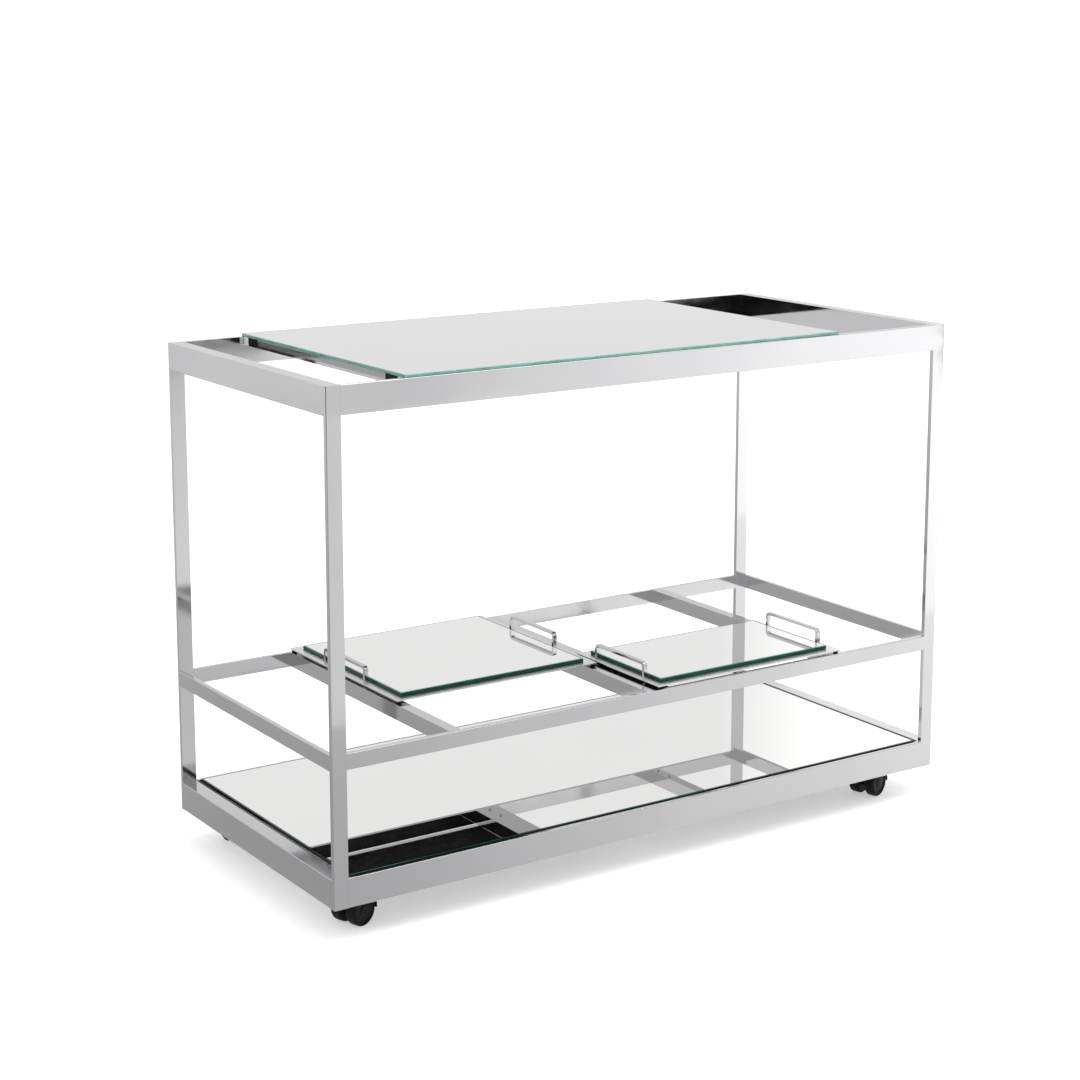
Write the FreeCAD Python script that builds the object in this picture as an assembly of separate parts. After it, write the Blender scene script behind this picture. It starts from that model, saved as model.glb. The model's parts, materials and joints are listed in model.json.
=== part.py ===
import FreeCAD, Part
import math
import os

# A bar cart with a sliding mirrored top, two loose serving trays, a mirrored
# lower shelf and four twin-wheel casters. Sizes are in millimetres, +Z is up,
# the front faces -Y and the origin is on the floor under the middle of the cart.

# Steel frame
cart_length = 1220.0
cart_depth = 542.0
frame_height = 802.0
flat_bar = 8.0
post_width = 25.0
top_rail_height = 45.0
middle_rail_height = 25.5
bottom_rail_height = 47.0
middle_rail_top = 243.5
tube_wall = 2.0

# Cross bars that carry the trays, and the plugs and screws in their ends
side_bar_width = 20.0
centre_bar_width = 48.0
plug_length = 60.0
plug_gap = 0.2
bar_screw_first = 12.0
bar_screw_pitch = 36.0

# Sliding top: a mirror on the long rails, guided by two bars between them
top_mirror_length = 845.0
top_mirror_shift = -53.5
top_mirror_edge_gap = 1.0
top_mirror_thickness = 5.0
guide_bar_size = 14.0
guide_block_length = 36.0
glide_length = 15.5
glide_gap = 0.5

# Lower shelf: a mirror dropped between the rails, on pads over hidden tubes
shelf_mirror_thickness = 6.0
shelf_mirror_proud = 2.0
shelf_mirror_end_gap = 8.0
shelf_mirror_side_gap = 1.0
shelf_tube_width = 40.0
shelf_tube_height = 30.0
shelf_pad_size = 30.0
shelf_pad_thickness = 1.5

# Trays: a chrome base with a mirror on it, a dark panel and rubber feet below
tray_width = 392.0
tray_gap = 4.0
tray_pair_shift = -4.0
large_tray_depth = 370.0
small_tray_depth = 235.0
large_tray_back_gap = 0.5
small_tray_front_gap = 3.0
tray_base_thickness = 2.0
tray_mirror_thickness = 6.0
tray_ledge = 17.0
tray_panel_thickness = 2.5
foot_diameter = 9.0
foot_height = 4.0
foot_inset = 5.5

# Tray handles: flat bar bent to a U, with a screw up into each leg
handle_span = 135.0
handle_height = 28.0
handle_width = 8.0
handle_thickness = 5.0
handle_corner_radius = 8.0
handle_screw_depth = 10.0

# Casters
caster_inset_x = 80.0
caster_inset_y = 66.0
caster_trail = 16.0
caster_yaw = {"front_left": 18.0, "front_right": 18.0, "back_left": -90.0, "back_right": 18.0}
caster_plate_length = 60.0
caster_plate_thickness = 2.5
caster_plate_screw_edge = 6.0
kingpin_diameter = 8.0
kingpin_reach = 10.0
swivel_gap = 0.5
boss_diameter = 20.0
hood_clearance = 1.5
hood_thickness = 2.0
hood_start_angle = -5.0
hood_end_angle = 125.0
web_thickness = 12.0
web_hub_radius = 11.0
wheel_diameter = 50.0
wheel_width = 18.0
wheel_top_gap = 3.0
wheel_side_gap = 1.0
tread_rounding = 3.5
dish_depth = 1.2
dish_inner_radius = 8.0
dish_outer_radius = 18.5
axle_diameter = 6.0
axle_end_gap = 0.5
axle_cap = 3.5

# Screws
screw_diameter = 4.0
screw_head_diameter = 7.0
screw_head_height = 2.0
caster_screw_length = 8.0
bar_screw_length = 12.0

# Fits
running_fit = 0.05
thread_fit = 0.05
screw_hole_gap = 0.2
bore_end_gap = 1.0

# Levels and faces that several pieces share. The wheels turn clear of the frame.
floor_gap = wheel_diameter + wheel_top_gap
kingpin_tip = wheel_diameter - kingpin_reach
half_length = cart_length / 2
half_depth = cart_depth / 2
frame_inner_y = half_depth - flat_bar
frame_top = floor_gap + frame_height
rail_levels = {
    "top": (frame_top - top_rail_height, frame_top),
    "middle": (floor_gap + middle_rail_top - middle_rail_height, floor_gap + middle_rail_top),
    "bottom": (floor_gap, floor_gap + bottom_rail_height),
}
end_rail_widths = {"top": post_width, "middle": flat_bar, "bottom": post_width}
tray_bar_bottom, tray_bar_top = rail_levels["middle"]
side_bar_centre = tray_gap / 2 + tray_width + tray_pair_shift
tray_bars = {
    "left": (-side_bar_centre, side_bar_width),
    "centre": (0.0, centre_bar_width),
    "right": (side_bar_centre, side_bar_width),
}
shelf_mirror_top = rail_levels["bottom"][1] + shelf_mirror_proud
shelf_mirror_bottom = shelf_mirror_top - shelf_mirror_thickness
shelf_tube_top = shelf_mirror_bottom - shelf_pad_thickness
shelf_tube_bottom = shelf_tube_top - shelf_tube_height
caster_x = half_length - caster_inset_x
caster_y = half_depth - caster_inset_y
shelf_tube_centres = (-caster_x, 0.0, caster_x)
wheel_radius = wheel_diameter / 2
plate_bottom = shelf_tube_bottom - caster_plate_thickness
sides = {"left": -1, "right": 1}
faces = {"front": -1, "back": 1}

X_AXIS = FreeCAD.Vector(1, 0, 0)
Y_AXIS = FreeCAD.Vector(0, 1, 0)
Z_AXIS = FreeCAD.Vector(0, 0, 1)
ORIGIN = FreeCAD.Vector(0, 0, 0)


def box(x_limits, y_limits, z_limits):
    """Block between two limits on each axis, in either order."""
    x_low, x_high = sorted(x_limits)
    y_low, y_high = sorted(y_limits)
    z_low, z_high = sorted(z_limits)
    corner = FreeCAD.Vector(x_low, y_low, z_low)
    return Part.makeBox(x_high - x_low, y_high - y_low, z_high - z_low, corner)


def around(centre, width):
    """Limits of a stretch of this width about a centre."""
    return (centre - width / 2, centre + width / 2)


def pin(diameter, length, base, axis=Z_AXIS):
    """Cylinder that starts at a base point and runs along an axis."""
    return Part.makeCylinder(diameter / 2, length, FreeCAD.Vector(*base), axis)


def tube_along_y(x_limits, z_limits):
    """Open-ended square tube between the front and back frames."""
    x_low, x_high = sorted(x_limits)
    z_low, z_high = sorted(z_limits)
    outside = box(x_limits, (-frame_inner_y, frame_inner_y), z_limits)
    hollow = box(
        (x_low + tube_wall, x_high - tube_wall),
        (-half_depth, half_depth),
        (z_low + tube_wall, z_high - tube_wall),
    )
    return outside.cut(hollow)


def screw_up(x, y, head_top, length):
    """Screw driven upwards, with the top of its head at a given height."""
    head_base = head_top - screw_head_height
    head = pin(screw_head_diameter, screw_head_height, (x, y, head_base))
    shank = pin(screw_diameter, length, (x, y, head_top))
    return head.fuse(shank)


def cut_holes(shape, places, diameter, bottom, top):
    """Cut the same upright hole at several places."""
    for x, y in places:
        shape = shape.cut(pin(diameter, top - bottom, (x, y, bottom)))
    return shape


def save(name, *solids):
    """Write one node, as a single solid or as a group of separate ones."""
    shape = solids[0] if len(solids) == 1 else Part.makeCompound(list(solids))
    shape.exportStep("parts/" + name + ".step")


# Frame


def make_posts():
    """Four full-height corner posts, in the planes of the front and back frames."""
    for side, side_sign in sides.items():
        for face, face_sign in faces.items():
            post = box(
                (side_sign * half_length, side_sign * (half_length - post_width)),
                (face_sign * half_depth, face_sign * frame_inner_y),
                (floor_gap, frame_top),
            )
            save("post_" + face + "_" + side, post)


def make_long_rails():
    """Front and back rails of flat bar, between the posts, at three levels."""
    rail_end = half_length - post_width
    for level, heights in rail_levels.items():
        for face, face_sign in faces.items():
            thickness = (face_sign * half_depth, face_sign * frame_inner_y)
            save(level + "_rail_" + face, box((-rail_end, rail_end), thickness, heights))


def make_end_rails():
    """End rails between the two frames: tubes as wide as a post, or flat bar."""
    for level, heights in rail_levels.items():
        width = end_rail_widths[level]
        for side, side_sign in sides.items():
            limits = (side_sign * half_length, side_sign * (half_length - width))
            if width > flat_bar:
                rail = tube_along_y(limits, heights)
            else:
                rail = box(limits, (-frame_inner_y, frame_inner_y), heights)
            save(level + "_rail_" + side, rail)


def bar_screw_places(centre):
    """Screw places near both ends of one tray bar."""
    distances = (bar_screw_first, bar_screw_first + bar_screw_pitch)
    return [
        (centre, face_sign * (frame_inner_y - distance))
        for face_sign in faces.values()
        for distance in distances
    ]


def make_bar_plug(centre, width, face_sign):
    """Block on a middle rail that fills the end of a tray bar."""
    inner_width = width - 2 * (tube_wall + plug_gap)
    bottom = tray_bar_bottom + tube_wall
    plug = box(
        around(centre, inner_width),
        (face_sign * frame_inner_y, face_sign * (frame_inner_y - plug_length)),
        (bottom, tray_bar_top - tube_wall - plug_gap),
    )
    hole_top = tray_bar_bottom + bar_screw_length + bore_end_gap
    hole_diameter = screw_diameter + 2 * thread_fit
    return cut_holes(plug, bar_screw_places(centre), hole_diameter, bottom, hole_top)


def make_tray_bars():
    """Three cross tubes level with the middle rails, with end plugs and screws."""
    plugs = []
    screws = []
    for name, (centre, width) in tray_bars.items():
        places = bar_screw_places(centre)
        bar = tube_along_y(around(centre, width), (tray_bar_bottom, tray_bar_top))
        hole_diameter = screw_diameter + 2 * screw_hole_gap
        wall_top = tray_bar_bottom + tube_wall
        bar = cut_holes(bar, places, hole_diameter, tray_bar_bottom, wall_top)
        save("tray_bar_" + name, bar)
        plugs += [make_bar_plug(centre, width, sign) for sign in faces.values()]
        screws += [screw_up(x, y, tray_bar_bottom, bar_screw_length) for x, y in places]
    save("tray_bar_plugs", *plugs)
    save("tray_bar_screws", *screws)


# Sliding top


def make_sliding_top():
    """Mirror plate with a guide bar under each short edge, run between the rails."""
    mirror_half = top_mirror_length / 2
    mirror_x = (top_mirror_shift - mirror_half, top_mirror_shift + mirror_half)
    mirror_y = half_depth - top_mirror_edge_gap
    mirror_z = (frame_top, frame_top + top_mirror_thickness)
    save("top_mirror", box(mirror_x, (-mirror_y, mirror_y), mirror_z))

    glide_end = frame_inner_y - glide_gap
    block_end = glide_end - glide_length
    bar_end = block_end - guide_block_length
    guide_z = (frame_top - guide_bar_size, frame_top)
    blocks = []
    glides = []
    for side, side_sign in sides.items():
        outer_x = top_mirror_shift + side_sign * mirror_half
        guide_x = (outer_x, outer_x - side_sign * guide_bar_size)
        save("guide_bar_" + side, box(guide_x, (-bar_end, bar_end), guide_z))
        for face_sign in faces.values():
            block_y = (face_sign * bar_end, face_sign * block_end)
            glide_y = (face_sign * block_end, face_sign * glide_end)
            blocks.append(box(guide_x, block_y, guide_z))
            glides.append(box(guide_x, glide_y, guide_z))
    save("guide_end_blocks", *blocks)
    save("guide_glides", *glides)


# Lower shelf


def caster_screw_places(centre_x, centre_y):
    """Screw places in the corners of one caster plate."""
    reach_x = shelf_tube_width / 2 - caster_plate_screw_edge
    reach_y = caster_plate_length / 2 - caster_plate_screw_edge
    return [
        (centre_x + x_sign * reach_x, centre_y + y_sign * reach_y)
        for x_sign in (-1, 1)
        for y_sign in (-1, 1)
    ]


def caster_centres():
    """Swivel centre of each caster, by name."""
    return {
        face + "_" + side: (side_sign * caster_x, face_sign * caster_y)
        for side, side_sign in sides.items()
        for face, face_sign in faces.items()
    }


def make_shelf_tubes():
    """Hidden tubes under the lower mirror; the outer two carry the casters."""
    tubes = []
    hole_diameter = screw_diameter + 2 * thread_fit
    hole_top = shelf_tube_bottom + tube_wall
    for centre in shelf_tube_centres:
        limits = around(centre, shelf_tube_width)
        tube = tube_along_y(limits, (shelf_tube_bottom, shelf_tube_top))
        for x, y in caster_centres().values():
            if x == centre:
                places = caster_screw_places(x, y)
                tube = cut_holes(tube, places, hole_diameter, shelf_tube_bottom, hole_top)
        tubes.append(tube)
    save("shelf_tubes", *tubes)


def make_lower_shelf():
    """Mirror between the bottom rails, a little proud of them, with its pads."""
    mirror_x = half_length - post_width - shelf_mirror_end_gap
    mirror_y = frame_inner_y - shelf_mirror_side_gap
    mirror_z = (shelf_mirror_bottom, shelf_mirror_top)
    save("shelf_mirror", box((-mirror_x, mirror_x), (-mirror_y, mirror_y), mirror_z))
    pad_z = (shelf_tube_top, shelf_mirror_bottom)
    pads = [
        box(around(x, shelf_pad_size), around(y, shelf_pad_size), pad_z)
        for x in shelf_tube_centres
        for y in (-caster_y, 0.0, caster_y)
    ]
    save("shelf_pads", *pads)


# Trays


def make_handle(x, y, z):
    """U-shaped handle standing on a tray's ledge, with a screw hole in each leg."""
    outer_half = (handle_span + handle_thickness) / 2
    inner_half = outer_half - handle_thickness
    inner_radius = handle_corner_radius - handle_thickness
    width = around(x, handle_width)
    outline = box(width, around(y, 2 * outer_half), (z, z + handle_height))
    upper_edges = edges_along_x_at(outline, z + handle_height)
    outline = outline.makeFillet(handle_corner_radius, upper_edges)
    gap_top = z + handle_height - handle_thickness
    gap = box(width, around(y, 2 * inner_half), (z, gap_top))
    gap = gap.makeFillet(inner_radius, edges_along_x_at(gap, gap_top))
    handle = outline.cut(gap)
    hole_diameter = screw_diameter + 2 * thread_fit
    hole_top = z + handle_screw_depth + bore_end_gap
    return cut_holes(handle, handle_screw_places(x, y), hole_diameter, z, hole_top)


def edges_along_x_at(shape, height):
    """Straight edges along X at one height."""
    return [
        edge
        for edge in shape.Edges
        if abs(edge.CenterOfMass.z - height) < 1e-6
        and edge.BoundBox.YLength < 1e-6
        and edge.BoundBox.ZLength < 1e-6
    ]


def handle_screw_places(x, y):
    """The middle of each leg of a handle."""
    return [(x, y - handle_span / 2), (x, y + handle_span / 2)]


def make_tray(name, x_low, y_low, depth):
    """One serving tray, standing on its feet on the tray bars."""
    x_high = x_low + tray_width
    y_high = y_low + depth
    y_middle = y_low + depth / 2
    base_bottom = tray_bar_top + foot_height
    base_top = base_bottom + tray_base_thickness
    inner_x = (x_low + tray_ledge, x_high - tray_ledge)
    inner_y = (y_low + tray_ledge, y_high - tray_ledge)

    handle_lines = (x_low + tray_ledge / 2, x_high - tray_ledge / 2)
    places = [place for x in handle_lines for place in handle_screw_places(x, y_middle)]
    base = box((x_low, x_high), (y_low, y_high), (base_bottom, base_top))
    hole_diameter = screw_diameter + 2 * screw_hole_gap
    base = cut_holes(base, places, hole_diameter, base_bottom, base_top)
    screw_length = tray_base_thickness + handle_screw_depth
    foot_places = [
        (x, y)
        for x in (x_low + foot_inset, x_high - foot_inset)
        for y in (y_low + foot_inset, y_high - foot_inset)
    ]

    save(name + "_base", base)
    save(name + "_mirror", box(inner_x, inner_y, (base_top, base_top + tray_mirror_thickness)))
    save(name + "_panel", box(inner_x, inner_y, (base_bottom - tray_panel_thickness, base_bottom)))
    save(name + "_handles", *[make_handle(x, y_middle, base_top) for x in handle_lines])
    save(name + "_screws", *[screw_up(x, y, base_bottom, screw_length) for x, y in places])
    save(name + "_feet", *[pin(foot_diameter, foot_height, (x, y, tray_bar_top)) for x, y in foot_places])


def make_trays():
    """The large tray stands at the back on the left, the small one at the front."""
    pair_left = tray_pair_shift - tray_gap / 2 - tray_width
    pair_right = tray_pair_shift + tray_gap / 2
    large_low = half_depth - large_tray_back_gap - large_tray_depth
    small_low = -half_depth + small_tray_front_gap
    make_tray("large_tray", pair_left, large_low, large_tray_depth)
    make_tray("small_tray", pair_right, small_low, small_tray_depth)


# Casters. Each is built with its swivel centre at the origin, its axle along Y
# and its wheels trailing towards -X, and is then turned and moved to its place.


def place_caster(shape, centre, yaw):
    """Turn a piece about the swivel axis and move it to its caster."""
    shape = shape.copy()
    shape.rotate(ORIGIN, Z_AXIS, yaw)
    shape.translate(FreeCAD.Vector(centre[0], centre[1], 0))
    return shape


def about_axle(radius, width):
    """Cylinder about the axle, centred between the wheels."""
    base = FreeCAD.Vector(-caster_trail, -width / 2, wheel_radius)
    return Part.makeCylinder(radius, width, base, Y_AXIS)


def hood_sector(radius, width):
    """Part of a cylinder about the axle, over the angle that the hood covers."""
    sweep = hood_end_angle - hood_start_angle
    base = FreeCAD.Vector(-caster_trail, -width / 2, wheel_radius)
    sector = Part.makeCylinder(radius, width, ORIGIN, Z_AXIS, sweep)
    sector.rotate(ORIGIN, Z_AXIS, hood_start_angle)
    sector.rotate(ORIGIN, X_AXIS, 90)
    sector.translate(base + Y_AXIS * width)
    return sector


def make_hood():
    """Fender over both wheels, with the web between them and the swivel boss."""
    full_width = web_thickness + 2 * (wheel_side_gap + wheel_width)
    inner_radius = wheel_radius + hood_clearance
    outer_radius = inner_radius + hood_thickness
    boss_top = plate_bottom - swivel_gap
    boss = pin(boss_diameter, boss_top - wheel_radius, (0, 0, wheel_radius))
    cover = hood_sector(outer_radius, full_width).fuse(boss)
    cover = cover.cut(about_axle(inner_radius, full_width + boss_diameter))
    web = hood_sector(inner_radius + hood_thickness / 2, web_thickness)
    web = web.fuse(about_axle(web_hub_radius, web_thickness))
    hood = cover.fuse(web)
    bore_bottom = kingpin_tip - bore_end_gap
    bore_diameter = kingpin_diameter + 2 * running_fit
    hood = hood.cut(pin(bore_diameter, boss_top - bore_bottom, (0, 0, bore_bottom)))
    return hood.cut(about_axle(axle_diameter / 2, web_thickness)).removeSplitter()


def make_wheel(outward):
    """Wheel with rounded tread edges, a dished outer face and a blind bore."""
    inner_y = web_thickness / 2 + wheel_side_gap
    outer_y = inner_y + wheel_width
    wheel = Part.makeCylinder(wheel_radius, wheel_width, FreeCAD.Vector(0, inner_y, 0), Y_AXIS)
    rims = [edge for edge in wheel.Edges if edge.BoundBox.YLength < 1e-6]
    wheel = wheel.makeFillet(tread_rounding, rims)
    dish_start = (0, outer_y - dish_depth, 0)
    dish = pin(2 * dish_outer_radius, dish_depth, dish_start, Y_AXIS)
    dish = dish.cut(pin(2 * dish_inner_radius, dish_depth, dish_start, Y_AXIS))
    bore_length = wheel_width - axle_cap
    bore = pin(axle_diameter + 2 * running_fit, bore_length, (0, inner_y, 0), Y_AXIS)
    wheel = wheel.cut(dish).cut(bore)
    if outward < 0:
        wheel.rotate(ORIGIN, Z_AXIS, 180)
    wheel.translate(FreeCAD.Vector(-caster_trail, 0, wheel_radius))
    return wheel


def make_caster_plate(centre):
    """Mounting plate with four screw holes."""
    x, y = centre
    plate = box(
        around(x, shelf_tube_width),
        around(y, caster_plate_length),
        (plate_bottom, shelf_tube_bottom),
    )
    hole_diameter = screw_diameter + 2 * screw_hole_gap
    places = caster_screw_places(x, y)
    return cut_holes(plate, places, hole_diameter, plate_bottom, shelf_tube_bottom)


def make_kingpin(centre):
    """Pin welded under the plate, about which the caster turns."""
    return pin(kingpin_diameter, plate_bottom - kingpin_tip, (*centre, kingpin_tip))


def make_casters():
    """Plates and screws on the shelf tubes, then a hood, axle and two wheels each."""
    plates = []
    kingpins = []
    screws = []
    bore_length = wheel_width - axle_cap
    axle_length = web_thickness + 2 * (wheel_side_gap + bore_length - axle_end_gap)
    for name, centre in caster_centres().items():
        yaw = caster_yaw[name]
        plates.append(make_caster_plate(centre))
        kingpins.append(make_kingpin(centre))
        places = caster_screw_places(*centre)
        screws += [screw_up(x, y, plate_bottom, caster_screw_length) for x, y in places]
        save("caster_hood_" + name, place_caster(make_hood(), centre, yaw))
        axle = about_axle(axle_diameter / 2, axle_length)
        save("axle_" + name, place_caster(axle, centre, yaw))
        for label, outward in (("a", -1), ("b", 1)):
            save("wheel_" + name + "_" + label, place_caster(make_wheel(outward), centre, yaw))
    save("caster_plates", *plates)
    save("caster_kingpins", *kingpins)
    save("caster_screws", *screws)


os.makedirs("parts", exist_ok=True)
make_posts()
make_long_rails()
make_end_rails()
make_tray_bars()
make_sliding_top()
make_shelf_tubes()
make_lower_shelf()
make_trays()
make_casters()
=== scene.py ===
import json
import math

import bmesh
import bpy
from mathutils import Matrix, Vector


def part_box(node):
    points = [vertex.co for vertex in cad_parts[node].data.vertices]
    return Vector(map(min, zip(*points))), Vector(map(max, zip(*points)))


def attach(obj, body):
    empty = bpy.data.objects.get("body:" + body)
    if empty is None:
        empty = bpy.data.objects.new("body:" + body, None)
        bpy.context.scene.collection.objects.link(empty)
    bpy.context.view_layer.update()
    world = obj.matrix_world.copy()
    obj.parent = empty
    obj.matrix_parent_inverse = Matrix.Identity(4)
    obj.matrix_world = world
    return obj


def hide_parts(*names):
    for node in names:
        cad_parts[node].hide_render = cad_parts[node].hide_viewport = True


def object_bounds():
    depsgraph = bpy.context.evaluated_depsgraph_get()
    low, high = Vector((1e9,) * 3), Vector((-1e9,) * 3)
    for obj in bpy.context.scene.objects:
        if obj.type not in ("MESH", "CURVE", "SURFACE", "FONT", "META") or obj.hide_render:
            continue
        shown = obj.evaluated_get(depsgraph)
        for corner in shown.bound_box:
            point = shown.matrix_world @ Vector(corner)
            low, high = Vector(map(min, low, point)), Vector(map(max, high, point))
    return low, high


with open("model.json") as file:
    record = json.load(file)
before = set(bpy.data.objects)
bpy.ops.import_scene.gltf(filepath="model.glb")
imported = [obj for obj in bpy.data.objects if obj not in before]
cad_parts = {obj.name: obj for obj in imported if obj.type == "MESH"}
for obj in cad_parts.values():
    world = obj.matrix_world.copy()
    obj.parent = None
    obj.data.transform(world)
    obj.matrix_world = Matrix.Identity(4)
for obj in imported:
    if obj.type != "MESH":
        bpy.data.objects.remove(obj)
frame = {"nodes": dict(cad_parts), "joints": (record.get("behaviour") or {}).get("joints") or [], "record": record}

# %% [markdown]
# # A mirrored bar cart on casters
# The cart is a polished steel frame with mirrors laid in it: a top that slides along,
# two loose trays on cross bars and a shelf near the floor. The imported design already
# fixes where everything is, so each piece here is made over its design node. Every
# finished piece keeps its object at the origin, with its place in its mesh, so that a
# pattern on Object coordinates stays where it is when the piece moves.

design_low, design_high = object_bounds()
bodies = frame["record"]["behaviour"]["bodies"]
body_of = {node: body for body, nodes in bodies.items() for node in nodes}
mm = 0.001
print("design box", [round(v, 4) for v in (*design_low, *design_high)])

# %% [markdown]
# ## Finishes
# A real finish is never one flat value: polished steel has faint smears left by the
# polishing wheel, rubber has dust in its pores. Each material is a small node tree that
# reads Object coordinates, so one noise runs through all the bars like one batch of
# steel. Only what changes over the surface goes through nodes; everything else is set
# on the shader's own sockets.

# %% A starting material and the kinds of node that vary it
noise_low = 0.35  # nearly all of a noise lies between these two values
noise_high = 0.70


def new_finish(name, colour, metallic, roughness, **sockets):
    """A material with its plain values on the shader's own sockets."""
    finish = bpy.data.materials.new(name)
    finish.use_nodes = True
    shader = finish.node_tree.nodes["Principled BSDF"]
    shader.inputs["Base Color"].default_value = (*colour, 1)
    shader.inputs["Metallic"].default_value = metallic
    shader.inputs["Roughness"].default_value = roughness
    for socket, value in sockets.items():
        shader.inputs[socket.replace("_", " ")].default_value = value
    finish.diffuse_color = (*colour, 1)
    return finish


def noise(finish, scale, detail=3.0, stretch=(1, 1, 1)):
    """Noise over the object, with its grain stretched along some axes."""
    tree = finish.node_tree
    place = tree.nodes.new("ShaderNodeTexCoord")
    mapping = tree.nodes.new("ShaderNodeMapping")
    texture = tree.nodes.new("ShaderNodeTexNoise")
    mapping.inputs["Scale"].default_value = stretch
    texture.inputs["Scale"].default_value = scale
    texture.inputs["Detail"].default_value = detail
    tree.links.new(place.outputs["Object"], mapping.inputs["Vector"])
    tree.links.new(mapping.outputs["Vector"], texture.inputs["Vector"])
    return texture.outputs["Fac"]


def vary_roughness(finish, factor, low, high):
    """Roughness that follows a noise, between two values."""
    tree = finish.node_tree
    spread = tree.nodes.new("ShaderNodeMapRange")
    spread.inputs["From Min"].default_value = noise_low
    spread.inputs["From Max"].default_value = noise_high
    spread.inputs["To Min"].default_value = low
    spread.inputs["To Max"].default_value = high
    tree.links.new(factor, spread.inputs["Value"])
    shader = tree.nodes["Principled BSDF"]
    tree.links.new(spread.outputs["Result"], shader.inputs["Roughness"])


def vary_colour(finish, factor, low, high):
    """Base colour that follows a noise, between two colours."""
    tree = finish.node_tree
    ramp = tree.nodes.new("ShaderNodeValToRGB")
    ramp.color_ramp.elements[0].position = noise_low
    ramp.color_ramp.elements[1].position = noise_high
    ramp.color_ramp.elements[0].color = (*low, 1)
    ramp.color_ramp.elements[1].color = (*high, 1)
    tree.links.new(factor, ramp.inputs["Fac"])
    shader = tree.nodes["Principled BSDF"]
    tree.links.new(ramp.outputs["Color"], shader.inputs["Base Color"])


def add_relief(finish, factor, strength, depth):
    """Fine relief that follows a noise."""
    tree = finish.node_tree
    bump = tree.nodes.new("ShaderNodeBump")
    bump.inputs["Strength"].default_value = strength
    bump.inputs["Distance"].default_value = depth
    tree.links.new(factor, bump.inputs["Height"])
    shader = tree.nodes["Principled BSDF"]
    tree.links.new(bump.outputs["Normal"], shader.inputs["Normal"])


# %% [markdown]
# ### Metal
# Polished stainless steel returns about six tenths of the light, which is why it looks
# grey beside a silvered mirror in the same room. The smears only change how sharp the
# reflection is. Zinc plate on screws is duller and cloudy, and the hidden tubes under
# the shelf are painted grey.

# %% The metals


def polished_steel():
    """Mirror-polished stainless steel with faint polishing smears."""
    finish = new_finish("polished_steel", (0.60, 0.60, 0.61), 1.0, 0.08)
    vary_colour(finish, noise(finish, 2.5), (0.57, 0.57, 0.585), (0.63, 0.63, 0.635))
    vary_roughness(finish, noise(finish, 14, 5, (1, 1, 3)), 0.045, 0.105)
    add_relief(finish, noise(finish, 900, 2), 0.012, 0.2 * mm)
    return finish


def satin_steel():
    """Steel with a fine satin finish, on the plates that carry the tray mirrors."""
    finish = new_finish("satin_steel", (0.74, 0.74, 0.74), 1.0, 0.32)
    vary_colour(finish, noise(finish, 5), (0.72, 0.72, 0.725), (0.77, 0.77, 0.77))
    vary_roughness(finish, noise(finish, 30, 4, (1, 6, 1)), 0.27, 0.36)
    add_relief(finish, noise(finish, 1200, 2, (1, 8, 1)), 0.03, 0.1 * mm)
    return finish


def zinc_plate():
    """Dull, slightly cloudy zinc on screws, pins and plates."""
    finish = new_finish("zinc_plate", (0.52, 0.52, 0.53), 1.0, 0.3)
    vary_colour(finish, noise(finish, 260, 4), (0.44, 0.45, 0.47), (0.58, 0.58, 0.58))
    vary_roughness(finish, noise(finish, 120), 0.22, 0.42)
    return finish


def grey_paint():
    """Paint with a light orange-peel texture, on the hidden tubes."""
    finish = new_finish("grey_paint", (0.30, 0.30, 0.31), 0.0, 0.45)
    vary_colour(finish, noise(finish, 30), (0.27, 0.27, 0.28), (0.33, 0.33, 0.34))
    add_relief(finish, noise(finish, 420, 2), 0.15, 0.3 * mm)
    return finish


steel = polished_steel()
satin = satin_steel()
zinc = zinc_plate()
paint = grey_paint()
print("metals:", steel.name, satin.name, zinc.name, paint.name)

# %% [markdown]
# ### Mirror
# A mirror is a slab of glass with silver and paint on its back. Seen from above it is
# all silver, so its face is a metal with almost no roughness. Light that goes in at the
# sides travels through a long way of glass, which is why the edges are green. The narrow
# darker line that a real mirror shows just inside its edges, the edge seen again in the
# glass, is a painted reflection here: a band of darker colour on the top face, darkest
# on the right and back sides and all round the shelf. Making the face a metal instead of
# real glass keeps the reflection clean and survives an export.

# %% The mirror's face, edges and back


def mirror_face(name, colour):
    """Silver seen through clear glass, with a trace of wiping marks."""
    finish = new_finish(name, colour, 1.0, 0.012, Coat_Weight=0.3, Coat_Roughness=0.01)
    low = tuple(0.985 * channel for channel in colour)
    vary_colour(finish, noise(finish, 4), low, colour)
    vary_roughness(finish, noise(finish, 22, 6, (1, 2.5, 1)), 0.004, 0.02)
    return finish


def glass_edge(name, dark, light, shine):
    """Edge of float glass, green from the depth of glass behind it."""
    finish = new_finish(name, light, 0.0, 0.05, Coat_Weight=shine, Coat_Roughness=0.02,
                        Specular_IOR_Level=shine)
    vary_colour(finish, noise(finish, 35, 4, (1, 1, 8)), dark, light)
    return finish


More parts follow.
